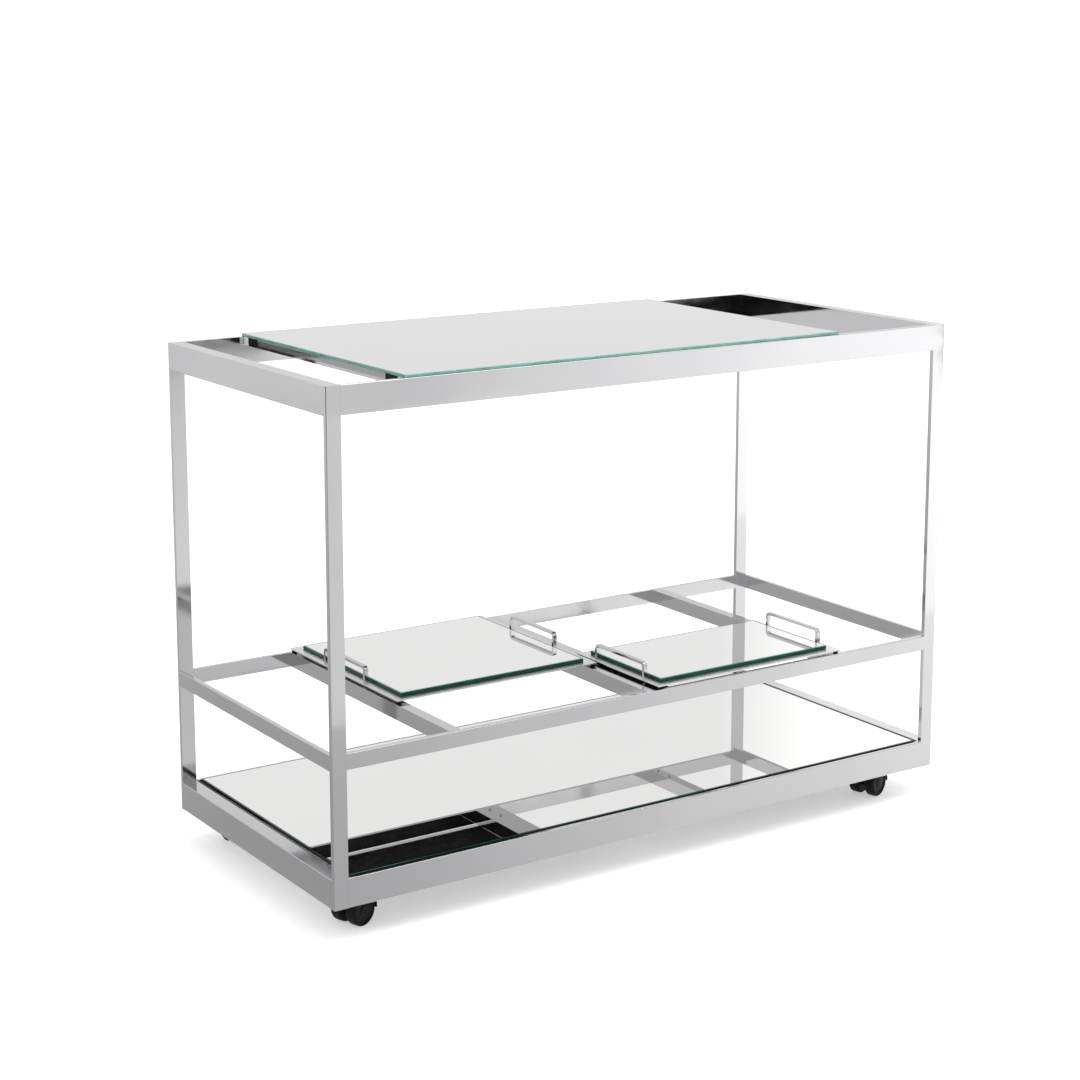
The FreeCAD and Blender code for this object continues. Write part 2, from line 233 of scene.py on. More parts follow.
silver = mirror_face("mirror_silver", (0.92, 0.925, 0.91))
# Painted shade: the top's face is a darker copy of the same silver, which dims its reflection.
silver_shaded_for_top = mirror_face("mirror_silver_shaded_for_top", (0.75, 0.755, 0.74))
# Painted reflection: these two finishes colour a band just inside each mirror's top arris, standing for the edge
# seen again in the glass; the dark one goes on the right and back sides, and all round the shelf.
painted_edge_reflection = mirror_face("mirror_painted_edge_reflection", (0.42, 0.50, 0.47))
painted_deep_reflection = mirror_face("mirror_painted_deep_reflection", (0.035, 0.05, 0.045))
# Painted light and shade: one green glass edge in lighter and darker copies by place. The top's edges are a lit
# teal, the trays' edges dark green with a lighter upper arris as a painted highlight, and the shelf's edges, low
# under the trays, near black. The green hue is the glass's own.
lit_teal_glass_edge = glass_edge("glass_edge_lit_teal", (0.08, 0.24, 0.21), (0.16, 0.38, 0.34), 0.5)
shaded_green_glass_edge = glass_edge("glass_edge_shaded_green", (0.002, 0.040, 0.028), (0.006, 0.085, 0.060), 0.15)
highlit_green_arris = glass_edge("glass_arris_highlit_green", (0.03, 0.20, 0.14), (0.06, 0.30, 0.22), 0.3)
deep_shaded_glass_edge = glass_edge("glass_edge_deep_shade", (0.001, 0.003, 0.003), (0.003, 0.008, 0.007), 0.1)
backing = new_finish("mirror_backing", (0.14, 0.14, 0.14), 0.0, 0.6)
vary_colour(backing, noise(backing, 60, 5), (0.12, 0.12, 0.12), (0.16, 0.16, 0.16))
print("mirror:", silver.name, painted_edge_reflection.name, backing.name)

# %% [markdown]
# ### Plastic and rubber
# Black is the hardest colour to keep alive: on real mouldings it is carried by gloss,
# dust and grain. The hood is glossy, the wheels are satin with dust on the tread, the
# feet are matt, and the panel under each tray has a fine leather grain.

# %% Plastics and rubbers


def black_finish(name, tone, gloss, grain, depth, shine):
    """A black moulding: base tone, range of roughness, grain size and depth, and shine."""
    finish = new_finish(name, (tone, tone, tone), 0.0, gloss[0], Specular_IOR_Level=shine)
    light = (1.7 * tone, 1.7 * tone, 1.75 * tone)
    vary_colour(finish, noise(finish, 45, 4), (tone, tone, tone), light)
    vary_roughness(finish, noise(finish, 90, 3), *gloss)
    add_relief(finish, noise(finish, grain, 2), 0.25, depth)
    return finish


def pale_nylon():
    """Waxy off-white nylon of the glides."""
    finish = new_finish("pale_nylon", (0.78, 0.78, 0.75), 0.0, 0.4, Subsurface_Weight=0.1)
    vary_colour(finish, noise(finish, 70), (0.72, 0.72, 0.69), (0.80, 0.80, 0.77))
    add_relief(finish, noise(finish, 500), 0.1, 0.1 * mm)
    return finish


hood_black = black_finish("hood_black", 0.003, (0.16, 0.28), 700, 0.05 * mm, 0.25)
wheel_black = black_finish("wheel_black", 0.003, (0.35, 0.55), 900, 0.10 * mm, 0.15)
tread_black = black_finish("tread_black", 0.004, (0.55, 0.75), 1400, 0.20 * mm, 0.15)
rubber_black = black_finish("rubber_black", 0.008, (0.6, 0.8), 1100, 0.15 * mm, 0.25)
block_black = black_finish("block_black", 0.002, (0.22, 0.40), 800, 0.08 * mm, 0.1)
panel_black = black_finish("panel_black", 0.004, (0.55, 0.75), 520, 0.15 * mm, 0.08)
nylon = pale_nylon()
print("blacks made, and", nylon.name)

# %% [markdown]
# ## From outline to piece
# Most of this cart is bar, and bar is an outline pushed along a line. Building it that
# way, and not as a stretched cube, gives each long edge a small true radius that
# catches a line of light. The normals are then weighted by face area, so that the flats
# stay dead flat in reflection and only the edges turn.

# %% Outlines and a function that makes a finished piece
quadrants = ((1, 1), (-1, 1), (-1, -1), (1, -1))
corner_steps = 3
crease_angle = math.radians(50)
weld = 0.01 * mm


def rounded_outline(width, height, radii):
    """Points of a rectangle with rounded corners, anticlockwise about its middle."""
    points = []
    for corner, (right, up) in enumerate(quadrants):
        radius = radii[corner]
        for step in range(corner_steps + 1):
            turn = math.radians(90 * (corner + step / corner_steps))
            across = right * (width / 2 - radius) + radius * math.cos(turn)
            upward = up * (height / 2 - radius) + radius * math.sin(turn)
            points.append((across, upward))
    return points


def weigh_normals(piece):
    """Turn only the edges in reflection: normals by face area, kept in the mesh."""
    mesh = piece.data
    mesh.polygons.foreach_set("use_smooth", [True] * len(mesh.polygons))
    mesh.set_sharp_from_angle(angle=crease_angle)
    weighing = piece.modifiers.new("weigh", "WEIGHTED_NORMAL")
    weighing.keep_sharp = True
    weighing.weight = 100
    seen = piece.evaluated_get(bpy.context.evaluated_depsgraph_get())
    weighed = bpy.data.meshes.new_from_object(seen)
    piece.modifiers.clear()
    piece.data = weighed
    bpy.data.meshes.remove(mesh)


def make_piece(name, shape, finishes, nodes, weighed=True):
    """Finished piece from a bmesh: it rides with the nodes that it replaces."""
    mesh = bpy.data.meshes.new(name)
    shape.to_mesh(mesh)
    shape.free()
    for finish in finishes:
        mesh.materials.append(finish)
    piece = bpy.data.objects.new(name, mesh)
    bpy.context.scene.collection.objects.link(piece)
    if weighed:
        weigh_normals(piece)
    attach(piece, body_of[nodes[0]])
    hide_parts(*nodes)
    return piece


def add_bar(shape, low, high, along, radii, wall):
    """Push a rounded outline along one axis; with a wall, it is an open tube."""
    across, upward = (along + 1) % 3, (along + 2) % 3
    size = high - low
    middle = (low + high) / 2
    outlines = [rounded_outline(size[across], size[upward], radii)]
    if wall:
        inner = (size[across] - 2 * wall, size[upward] - 2 * wall)
        outlines.append(rounded_outline(*inner, [inner_corner] * 4))
    loops = []
    for outline in outlines:
        ends = []
        for end in (low[along], high[along]):
            ring = []
            for u, v in outline:
                point = Vector((0, 0, 0))
                point[along] = end
                point[across] = middle[across] + u
                point[upward] = middle[upward] + v
                ring.append(shape.verts.new(point))
            ends.append(ring)
        loops.append(ends)
    count = len(outlines[0])
    for i in range(count):
        j = (i + 1) % count
        start, end = loops[0]
        shape.faces.new((start[i], start[j], end[j], end[i]))
        if wall:
            inner_start, inner_end = loops[1]
            shape.faces.new((inner_start[j], inner_start[i], inner_end[i], inner_end[j]))
            shape.faces.new((start[j], start[i], inner_start[i], inner_start[j]))
            shape.faces.new((end[i], end[j], inner_end[j], inner_end[i]))
    if not wall:
        shape.faces.new(reversed(loops[0][0]))
        shape.faces.new(loops[0][1])


# %% [markdown]
# ## The frame
# Four posts and twelve rails. The front and back are flat bar on edge, welded flush and
# ground, so the bars keep nearly sharp corners and no gap shows where they meet. Only
# edges on the outside of the cart are rounder, where a hand would feel them. The wide
# end rails and the bars that carry the trays are square tube, left hollow here too,
# because a cut end would show it.

# %% Posts, rails and tray bars
ground_corner = 0.2 * mm
outer_corner = 1.1 * mm
inner_corner = 0.3 * mm
tube_wall = 2.0 * mm
thickest_flat_bar = 10 * mm
flush = 0.1 * mm


def longest_axis(low, high):
    """Number of the axis along which a box is longest."""
    size = high - low
    return max(range(3), key=lambda axis: size[axis])


def corner_radii(low, high, along):
    """Corner radii of a bar: larger where an edge lies on the outside of the cart."""
    radii = []
    for signs in quadrants:
        sides = []
        for axis, sign in zip(((along + 1) % 3, (along + 2) % 3), signs):
            if axis != 2:
                place = high[axis] if sign > 0 else low[axis]
                edge = design_high[axis] if sign > 0 else design_low[axis]
                sides.append(abs(place - edge) < flush)
        radii.append(outer_corner if all(sides) else ground_corner)
    return radii


def frame_bar(node):
    """One bar of the frame: flat bar is solid, anything thicker is tube."""
    low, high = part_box(node)
    along = longest_axis(low, high)
    hollow = min(high - low) > thickest_flat_bar
    shape = bmesh.new()
    wall = tube_wall if hollow else None
    add_bar(shape, low, high, along, corner_radii(low, high, along), wall)
    return make_piece(node + "_steel", shape, [steel], [node])


bar_nodes = [n for n in bodies["frame"] if "_rail_" in n or n.startswith("post_")]
tray_bar_nodes = ["tray_bar_left", "tray_bar_centre", "tray_bar_right"]
frame_bars = [frame_bar(node) for node in bar_nodes + tray_bar_nodes]
print(len(frame_bars), "bars in the frame")

# %% [markdown]
# ## Mirrors
# Each mirror is a slab with a small flat arris ground along its edges, because raw
# glass would cut. The slab is built in rings from its underside up, and its faces take
# their finish by height: paint below, green glass round the sides, a band of painted
# reflection of the edge just inside the top arris, darker on the right and back, and
# then silver on top.

# %% Mirror slabs
arris = 0.8 * mm
# Width of the band of painted reflection round each mirror's face, and its greater width on the top's back side.
painted_reflection_width = 2.6 * mm
top_back_reflection_width = 5.0 * mm
# Places in a slab's list of finishes.
at_under, at_side, at_painted_reflection, at_face, at_deep_painted_reflection, at_line = range(6)


def mirror_slab(node, side_finish, line_finish, reflection_finish, face_finish):
    """Slab of silvered glass over a node, built as rings from the bottom up."""
    low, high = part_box(node)
    shape = bmesh.new()
    levels = [
        (low.z, arris, at_under),
        (low.z + arris, 0.0, at_side),
        (high.z - arris, 0.0, at_side),
        (high.z, arris, at_line),
        (high.z, arris + painted_reflection_width, at_painted_reflection),
    ]
    rings = []
    for height, inset, _ in levels:
        x = (low.x + inset, high.x - inset)
        far_inset = top_back_reflection_width if node == "top_mirror" and inset > arris else inset
        y = (low.y + inset, high.y - far_inset)
        corners = [(x[0], y[0]), (x[1], y[0]), (x[1], y[1]), (x[0], y[1])]
        rings.append([shape.verts.new((cx, cy, height)) for cx, cy in corners])
    for k in range(1, len(rings)):
        for i in range(4):
            j = (i + 1) % 4
            corners = (rings[k - 1][i], rings[k - 1][j], rings[k][j], rings[k][i])
            part = levels[k][2]
            # Painted reflection: the band on the right and back sides takes the darker copy.
            right_or_back = i in (1, 2)
            finish = at_deep_painted_reflection if part == at_painted_reflection and right_or_back else part
            shape.faces.new(corners).material_index = finish
    shape.faces.new(reversed(rings[0])).material_index = at_under
    shape.faces.new(rings[-1]).material_index = at_face
    finishes = [backing, side_finish, reflection_finish, face_finish, painted_deep_reflection, line_finish]
    return make_piece(node + "_glass", shape, finishes, [node], weighed=False)


# Each slab's sides, upper arris, rim band and face. The edge finishes are lit and shaded copies of one glass, and
# the rim band is a painted reflection.
slabs = {
    "top_mirror": (lit_teal_glass_edge, lit_teal_glass_edge, painted_edge_reflection, silver_shaded_for_top),
    "shelf_mirror": (deep_shaded_glass_edge, shaded_green_glass_edge, painted_deep_reflection, silver),
    "large_tray_mirror": (shaded_green_glass_edge, highlit_green_arris, painted_edge_reflection, silver),
    "small_tray_mirror": (shaded_green_glass_edge, highlit_green_arris, painted_edge_reflection, silver),
}
mirrors = [mirror_slab(node, *finishes) for node, finishes in slabs.items()]
print(len(mirrors), "mirrors, rim", round(painted_reflection_width / mm, 1), "mm")

# %% [markdown]
# ## Guides of the sliding top
# Under each short edge of the top, a polished bar reaches across between the rails. It
# ends in black blocks with pale glides against the steel. These are plain mouldings
# with broken edges, so a box with every edge bevelled is the honest shape.

# %% Bevelled blocks


def add_block(shape, low, high, bevel):
    """Box between two corners with every edge rounded."""
    block = bmesh.new()
    bmesh.ops.create_cube(block, size=1.0)
    size = high - low
    middle = (low + high) / 2
    for vert in block.verts:
        vert.co = Vector([middle[i] + vert.co[i] * size[i] for i in range(3)])
    bmesh.ops.bevel(block, geom=block.edges[:], offset=bevel, segments=2,
                    profile=0.5, affect="EDGES", clamp_overlap=True)
    copy_into(shape, block)


def copy_into(shape, extra):
    """Add one bmesh to another and free it."""
    mesh = bpy.data.meshes.new("passing")
    extra.to_mesh(mesh)
    extra.free()
    shape.from_mesh(mesh)
    bpy.data.meshes.remove(mesh)


def loose_parts(node):
    """Boxes of the separate solids of one node, from its joined triangles."""
    copy = bmesh.new()
    copy.from_mesh(frame["nodes"][node].data)
    bmesh.ops.remove_doubles(copy, verts=copy.verts[:], dist=weld)
    unseen = set(copy.verts)
    boxes = []
    while unseen:
        island = [unseen.pop()]
        for vert in island:
            for edge in vert.link_edges:
                other = edge.other_vert(vert)
                if other in unseen:
                    unseen.remove(other)
                    island.append(other)
        low = Vector([min(v.co[i] for v in island) for i in range(3)])
        high = Vector([max(v.co[i] for v in island) for i in range(3)])
        boxes.append((low, high))
    copy.free()
    return sorted(boxes, key=lambda box: tuple(box[0]))


def blocks_piece(node, name, finish, bevel):
    """One piece made of a bevelled block for each solid of a node."""
    shape = bmesh.new()
    for low, high in loose_parts(node):
        add_block(shape, low, high, bevel)
    return make_piece(name, shape, [finish], [node])


guides = [
    blocks_piece("guide_bar_left", "guide_bar_left_steel", steel, 0.5 * mm),
    blocks_piece("guide_bar_right", "guide_bar_right_steel", steel, 0.5 * mm),
    blocks_piece("guide_end_blocks", "guide_end_blocks_moulded", block_black, 1.0 * mm),
    blocks_piece("guide_glides", "guide_glides_moulded", nylon, 1.2 * mm),
]
print(len(guides), "guide pieces")

# %% [markdown]
# ## Trays
# A tray is a chromed plate with a mirror bedded on it and a dark panel underneath. The
# handles are flat bar bent twice on a former: the outside of each bend is wider than
# the inside, which a swept outline gives without any modelling by hand.

# %% Tray bases, panels and handles
handle_width = 8.0 * mm
handle_thickness = 5.0 * mm
handle_corner = 0.7 * mm
bend_radius = 5.5 * mm
bend_steps = 8


def handle_path(low, high):
    """Points and directions of the middle line of a handle, in its Y-Z plane."""
    left = low.y + handle_thickness / 2
    right = high.y - handle_thickness / 2
    top = high.z - handle_thickness / 2
    path = [((left, low.z), 90.0)]
    for centre_y, first in ((left + bend_radius, 180.0), (right - bend_radius, 90.0)):
        for step in range(bend_steps + 1):
            turn = math.radians(first - 90.0 * step / bend_steps)
            point = (centre_y + bend_radius * math.cos(turn),
                     top - bend_radius + bend_radius * math.sin(turn))
            path.append((point, math.degrees(turn) - 90.0))
    path.append(((right, low.z), -90.0))
    return path


def add_handle(shape, low, high):
    """Sweep a flat-bar outline along the handle's middle line."""
    outline = rounded_outline(handle_width, handle_thickness, [handle_corner] * 4)
    middle_x = (low.x + high.x) / 2
    rings = []
    for (y, z), heading in handle_path(low, high):
        turn = math.radians(heading)
        ring = []
        for u, v in outline:
            ring.append(shape.verts.new((
                middle_x + u,
                y - v * math.sin(turn),
                z + v * math.cos(turn),
            )))
        rings.append(ring)
    count = len(outline)
    for start, end in zip(rings, rings[1:]):
        for i in range(count):
            j = (i + 1) % count
            shape.faces.new((start[i], start[j], end[j], end[i]))
    shape.faces.new(reversed(rings[0]))
    shape.faces.new(rings[-1])


def tray_pieces(tray):
    """Base, panel and handles of one tray."""
    base = blocks_piece(tray + "_base", tray + "_base_steel", satin, 0.4 * mm)
    panel = blocks_piece(tray + "_panel", tray + "_panel_lined", panel_black, 0.6 * mm)
    shape = bmesh.new()
    for low, high in loose_parts(tray + "_handles"):
        add_handle(shape, low, high)
    bmesh.ops.recalc_face_normals(shape, faces=shape.faces[:])
    handles = make_piece(tray + "_handles_steel", shape, [steel], [tray + "_handles"])
    return [base, panel, handles]


tray_parts = [piece for tray in ("large_tray", "small_tray") for piece in tray_pieces(tray)]
print(len(tray_parts), "tray pieces")

# %% [markdown]
# ## Screws and feet
# The same screw holds the tray bars, the caster plates and the handles. One is drawn,
# with a rounded head and a hexagonal socket, and Geometry Nodes set a copy on every
# point that it is given, each turned by its own angle from a fixed seed, as screws end
# up when they are tightened by hand. The rubber feet use the same tree.

# %% A tree that sets copies of one part on points


def copies_tree():
    """Node group: a copy of a part on each point, turned about Z, made real."""
    tree = bpy.data.node_groups.new("copies_on_points", "GeometryNodeTree")
    sides = tree.interface
    sides.new_socket("Places", in_out="INPUT", socket_type="NodeSocketGeometry")
    sides.new_socket("Part", in_out="INPUT", socket_type="NodeSocketObject")
    sides.new_socket("Largest turn", in_out="INPUT", socket_type="NodeSocketFloat")
    sides.new_socket("Seed", in_out="INPUT", socket_type="NodeSocketInt")
    sides.new_socket("Finish", in_out="INPUT", socket_type="NodeSocketMaterial")
    sides.new_socket("Copies", in_out="OUTPUT", socket_type="NodeSocketGeometry")
    add = tree.nodes.new
    link = tree.links.new
    given = add("NodeGroupInput")
    made = add("NodeGroupOutput")
    part = add("GeometryNodeObjectInfo")
    turn = add("FunctionNodeRandomValue")
    about_z = add("ShaderNodeCombineXYZ")
    copies = add("GeometryNodeInstanceOnPoints")
    real = add("GeometryNodeRealizeInstances")
    finish = add("GeometryNodeSetMaterial")
    turn.data_type = "FLOAT"
    link(given.outputs["Part"], part.inputs["Object"])
    link(given.outputs["Largest turn"], turn.inputs[3])
    link(given.outputs["Seed"], turn.inputs["Seed"])
    link(turn.outputs[1], about_z.inputs["Z"])
    link(given.outputs["Places"], copies.inputs["Points"])
    link(part.outputs["Geometry"], copies.inputs["Instance"])
    link(about_z.outputs["Vector"], copies.inputs["Rotation"])
    link(copies.outputs["Instances"], real.inputs["Geometry"])
    link(real.outputs["Geometry"], finish.inputs["Geometry"])
    link(given.outputs["Finish"], finish.inputs["Material"])
    link(finish.outputs["Geometry"], made.inputs["Copies"])
    return tree


copies_on_points = copies_tree()


def set_input(modifier, name, value):
    """Set a modifier's input by its socket's identifier."""
    for item in modifier.node_group.interface.items_tree:
        if item.item_type == "SOCKET" and item.in_out == "INPUT" and item.name == name:
            modifier[item.identifier] = value


def copies_piece(name, part, places, finish, node, largest_turn, seed):
    """Piece with a copy of one part at each place, in place of a node."""
    points = bpy.data.meshes.new(name)
    points.from_pydata([tuple(place) for place in places], [], [])
    piece = bpy.data.objects.new(name, points)
    bpy.context.scene.collection.objects.link(piece)
    modifier = piece.modifiers.new("copies", "NODES")
    modifier.node_group = copies_on_points
    set_input(modifier, "Part", part)
    set_input(modifier, "Largest turn", largest_turn)
    set_input(modifier, "Seed", seed)
    set_input(modifier, "Finish", finish)
    seen = piece.evaluated_get(bpy.context.evaluated_depsgraph_get())
    mesh = bpy.data.meshes.new_from_object(seen)
    piece.modifiers.clear()
    piece.data = mesh
    bpy.data.meshes.remove(points)
    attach(piece, body_of[node])
    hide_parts(node)
    return piece


# %% The part to be copied: rings of points from the inside of the socket to the shank
ring_points = 24
ring_crease = math.radians(35)
screw_head = 3.5 * mm
screw_head_height = 2.0 * mm
screw_shank = 2.0 * mm
screw_chamfer = 0.4 * mm
hexagon_turn = math.pi / 3
socket_share = 0.42  # of the head's radius
socket_depth_share = 0.6  # of the head's height
rounding_share = 0.28  # of the head's radius
dome_share = 0.5  # of the head's height
tip_share = 0.8  # of the shank's radius
round_steps = 3


def hexagon(flat):
    """Distance from the middle to a hexagon's side, in a given direction."""
    def reach(turn):
        within = (turn + hexagon_turn / 2) % hexagon_turn - hexagon_turn / 2
        return flat / math.cos(within)
    return reach


def circle(radius):
    """The same distance in every direction."""
    return lambda turn: radius


def ringed_part(name, rings):
    """Closed part from rings about Z; each ring is a reach and a height."""
    shape = bmesh.new()
    loops = []
    for reach, height in rings:
        loop = []
        for i in range(ring_points):
            turn = 2 * math.pi * i / ring_points
            across = reach(turn)
            loop.append(shape.verts.new((across * math.cos(turn), across * math.sin(turn), height)))
        loops.append(loop)
    for start, end in zip(loops, loops[1:]):
        for i in range(ring_points):
            j = (i + 1) % ring_points
            shape.faces.new((start[i], start[j], end[j], end[i]))
    shape.faces.new(loops[0])
    shape.faces.new(reversed(loops[-1]))
    bmesh.ops.recalc_face_normals(shape, faces=shape.faces[:])
    mesh = bpy.data.meshes.new(name)
    shape.to_mesh(mesh)
    shape.free()
    mesh.polygons.foreach_set("use_smooth", [True] * len(mesh.polygons))
    mesh.set_sharp_from_angle(angle=ring_crease)
    return bpy.data.objects.new(name, mesh)


def screw_part(name, head, head_height, shank, length):
    """Screw pointing up: a rounded head below, a hexagonal socket, a plain shank."""
    socket = hexagon(socket_share * head)
    deep = socket_depth_share * head_height - head_height
    rings = [(socket, deep), (socket, -head_height)]
    for step in range(round_steps + 1):
        turn = math.radians(90 * step / round_steps)
        inset = rounding_share * head * (1 - math.sin(turn))
        drop = -head_height + dome_share * head_height * (1 - math.cos(turn))
        rings.append((circle(head - inset), drop))
    rings += [(circle(head), 0.0), (circle(shank), 0.0)]
    rings += [(circle(shank), length - screw_chamfer), (circle(tip_share * shank), length)]
    return ringed_part(name, rings)


def screws_on(node, seed):
    """Screws in place of one node of them."""
    boxes = loose_parts(node)
    low, high = boxes[0]
    length = high.z - low.z - screw_head_height
    part = screw_part(node + "_part", screw_head, screw_head_height, screw_shank, length)
    places = [((a.x + b.x) / 2, (a.y + b.y) / 2, a.z + screw_head_height) for a, b in boxes]
    return copies_piece(node + "_turned", part, places, zinc, node, hexagon_turn, seed)


screw_nodes = ["tray_bar_screws", "caster_screws", "large_tray_screws", "small_tray_screws"]
for seed, node in enumerate(screw_nodes):
    screws_on(node, seed)
print(sum(len(loose_parts(node)) for node in screw_nodes), "screws")

# %% [markdown]
# The feet are small rubber buttons: wider at the tray, with a rounded rim and a shallow
# hollow underneath that lets them grip like a suction cup.

# %% Rubber feet
sole_gap = 0.05 * mm
# Shares of a foot's radius, and of its height.
hollow_share, sole_share, rim_share, rim_swell = 0.45, 0.70, 0.82, 0.10
hollow_depth_share, rim_height_share = 0.25, 0.22


def foot_part(name, radius, height):
    """Rubber button, from the hollow in its sole up to the tray."""
    rings = [(circle(hollow_share * radius), hollow_depth_share * height)]
    rings.append((circle(sole_share * radius), 0.0))
    for step in range(round_steps + 1):
        turn = math.radians(90 * step / round_steps)
        rings.append((circle(radius * (rim_share + rim_swell * math.sin(turn))),
                      rim_height_share * height * (1 - math.cos(turn))))
    rings.append((circle(radius), height))
    return ringed_part(name, rings)


def feet_on(node):
    """Feet in place of one tray's node of them."""
    boxes = loose_parts(node)
    low, high = boxes[0]
    part = foot_part(node + "_part", (high.x - low.x) / 2, high.z - low.z - sole_gap)
    places = [((a.x + b.x) / 2, (a.y + b.y) / 2, a.z + sole_gap) for a, b in boxes]
    return copies_piece(node + "_moulded", part, places, rubber_black, node, 0.0, 0)


feet = [feet_on("large_tray_feet"), feet_on("small_tray_feet")]
print(len(feet), "sets of feet")

# %% [markdown]
# ## Casters
# A furniture caster has two wheels on one axle with a hood over them. The wheel is a
# turned shape, so it is lathed: a satin disc with a raised hub and rim, and a softer
# tread round it with fine grooves at both shoulders. It is drawn once about its own
# axle and then turned into each place, which is read from the joint that spins it.

# %% Wheels
wheel_radius = 25.0 * mm
wheel_width = 18.0 * mm
wheel_points = 72
bore_radius = 3.05 * mm
bore_depth = 14.5 * mm
tread_edge = 3.5 * mm
tread_steps = 6
tread_from = 20.9 * mm
groove = [(19.6 * mm, 0.0), (20.0 * mm, 0.5 * mm), (20.6 * mm, 0.5 * mm), (21.0 * mm, 0.0)]
dish = [(18.8 * mm, 0.0), (18.0 * mm, 1.2 * mm), (8.6 * mm, 1.2 * mm)]
hub = [(7.8 * mm, 0.2 * mm), (6.8 * mm, 0.0), (0.0, 0.0)]


def tread_corner(height, first):
    """Quarter round at one shoulder of the tread."""
    points = []
    for step in range(tread_steps + 1):
        turn = math.radians(first + 90 * step / tread_steps)
        radius = wheel_radius - tread_edge + tread_edge * math.cos(turn)
        points.append((radius, height + tread_edge * math.sin(turn)))
    return points


def wheel_outline():
    """Outline from the bottom of the bore, round the tread, to the hub's middle."""
    points = [(0.0, bore_depth), (bore_radius, bore_depth), (bore_radius, 0.0)]
    points += groove
    points += tread_corner(tread_edge, -90)
    points += tread_corner(wheel_width - tread_edge, 0)
    points += [(radius, wheel_width - deep) for radius, deep in groove[::-1] + dish + hub]
    return points


def add_lathed(shape, outline, place):
    """Spin an outline about an axle; faces of the tread take the second finish."""
    rings = []
    for radius, along in outline:
        if radius == 0.0:
            rings.append([shape.verts.new(place @ Vector((0, 0, along)))])
            continue
        ring = []
        for i in range(wheel_points):
            turn = 2 * math.pi * i / wheel_points
            point = Vector((radius * math.cos(turn), radius * math.sin(turn), along))
            ring.append(shape.verts.new(place @ point))
        rings.append(ring)
    for k in range(1, len(rings)):
        start, end = rings[k - 1], rings[k]
        outer = min(outline[k - 1][0], outline[k][0]) >= tread_from
        for i in range(wheel_points):
            j = (i + 1) % wheel_points
            if len(start) == 1:
                corners = (start[0], end[j], end[i])
            elif len(end) == 1:
                corners = (start[i], start[j], end[0])
            else:
                corners = (start[i], start[j], end[j], end[i])
            shape.faces.new(corners).material_index = 1 if outer else 0
    bmesh.ops.recalc_face_normals(shape, faces=shape.faces[:])


def wheel_place(node, joint):
    """Matrix that takes a wheel drawn about +Z to its place on its axle."""
    low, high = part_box(node)
    middle = (low + high) / 2
    axle = Vector(joint["axis"])
    centre = Vector(joint["pos_m"])
    outward = axle if (middle - centre).dot(axle) > 0 else -axle
    inner = (middle - centre).dot(outward) - wheel_width / 2
    start = centre + outward * inner
    return Matrix.Translation(start) @ outward.to_track_quat("Z", "X").to_matrix().to_4x4()


spins = {j["child"]: j for j in frame["joints"] if j["name"].startswith("spin_")}


def make_wheel(node):
    """One wheel over its node."""
    shape = bmesh.new()
    place = wheel_place(node, spins[body_of[node]])
    add_lathed(shape, wheel_outline(), place)
    return make_piece(node + "_moulded", shape, [wheel_black, tread_black], [node])


wheels = [make_wheel(node) for node in sorted(body_of) if node.startswith("wheel_")]
print(len(wheels), "wheels")

# %% [markdown]
# The hoods, axles, plates, kingpins, tubes, pads and plugs keep their designed shape,
# which is already the real one. Only the hoods get a merged copy with its sharp corners
# broken by a small bevel, so that the glossy black shows its form by the light on its
# edges.

# %% Hoods and the hidden metalwork
hood_bevel = 0.4 * mm
bevel_above = math.radians(40)
flat_within = math.radians(1)
sliver = 0.001 * mm


def broken_edges(node, name, finish, bevel):
    """Merged copy of a node with its sharp edges rounded."""
    shape = bmesh.new()
    shape.from_mesh(frame["nodes"][node].data)
    bmesh.ops.remove_doubles(shape, verts=shape.verts[:], dist=weld)
    bmesh.ops.dissolve_limit(shape, angle_limit=flat_within, verts=shape.verts[:],
                             edges=shape.edges[:])
    sharp = [e for e in shape.edges if e.is_manifold and e.calc_face_angle(0) > bevel_above]
    bmesh.ops.bevel(shape, geom=sharp, offset=bevel, segments=2, profile=0.5,
                    affect="EDGES", clamp_overlap=True)
    bmesh.ops.triangulate(shape, faces=[f for f in shape.faces if len(f.verts) > 4])
    bmesh.ops.dissolve_degenerate(shape, dist=sliver, edges=shape.edges[:])
    return make_piece(name, shape, [finish], [node])


hoods = [
    broken_edges(node, node + "_moulded", hood_black, hood_bevel)
    for node in sorted(body_of) if node.startswith("caster_hood_")
]
kept_nodes = {"shelf_tubes": paint, "shelf_pads": rubber_black, "tray_bar_plugs": zinc}
kept_nodes.update({"caster_plates": zinc, "caster_kingpins": zinc})
kept_nodes.update({node: zinc for node in body_of if node.startswith("axle_")})
for node, finish in kept_nodes.items():
    materials = frame["nodes"][node].data.materials
    materials.clear()
    materials.append(finish)
print(len(hoods), "hoods;", len(kept_nodes), "nodes keep their designed shape")

# %% [markdown]
# ## Floor, light and camera
# Polished steel has no look of its own: it shows the room. So the floor is a plain pale
# sheet with a little light of its own, which keeps the shadow under the cart soft, the
# world is pale all round, and one large soft panel hangs above.

# %% Floor, panel and world
rise_start = 0.06  # upward part of a direction where the horizon's tone ends
rise_end = 0.13
floor_size = 40.0


